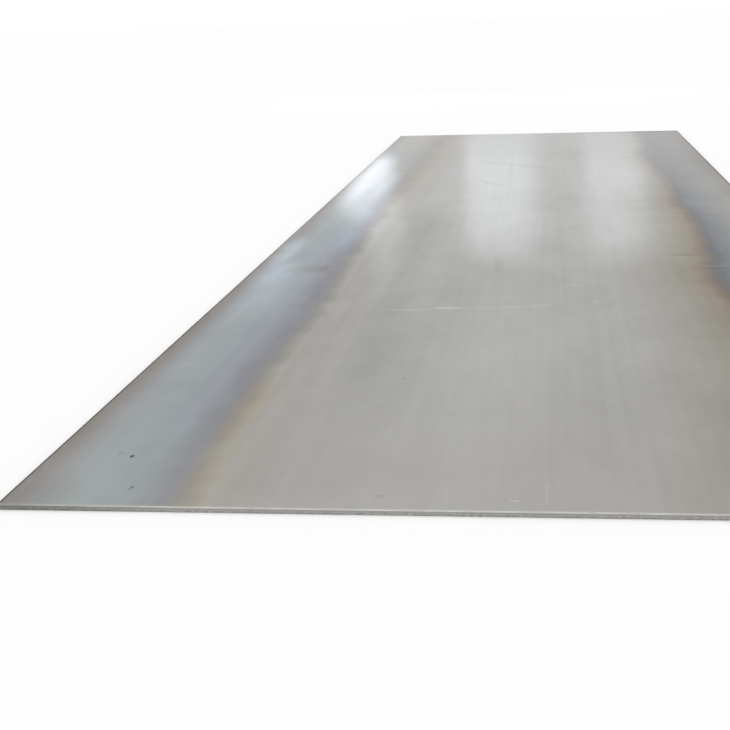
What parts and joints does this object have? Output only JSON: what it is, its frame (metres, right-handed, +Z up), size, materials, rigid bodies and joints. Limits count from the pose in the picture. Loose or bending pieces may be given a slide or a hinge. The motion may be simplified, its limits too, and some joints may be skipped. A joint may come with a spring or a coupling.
{
  "type": "steel plate",
  "caption": "Flat rectangular hot-rolled steel plate with round mill edges along its sides and sheared ends, raw stock for cutting, bending and welding.",
  "frame": {"origin": "middle of the underside", "axes": "+X across the width, +Y along the length, which is the rolling direction, +Z up through the thickness"},
  "size_m": [1.5, 6, 0.008],
  "materials": {
    "hot_rolled_steel": "hot-rolled mill surface, grey with a blue and brown temper tint along the mill edges"
  },
  "bodies": {
    "root": {"steel_plate": "hot_rolled_steel"}
  },
  "joints": []
}
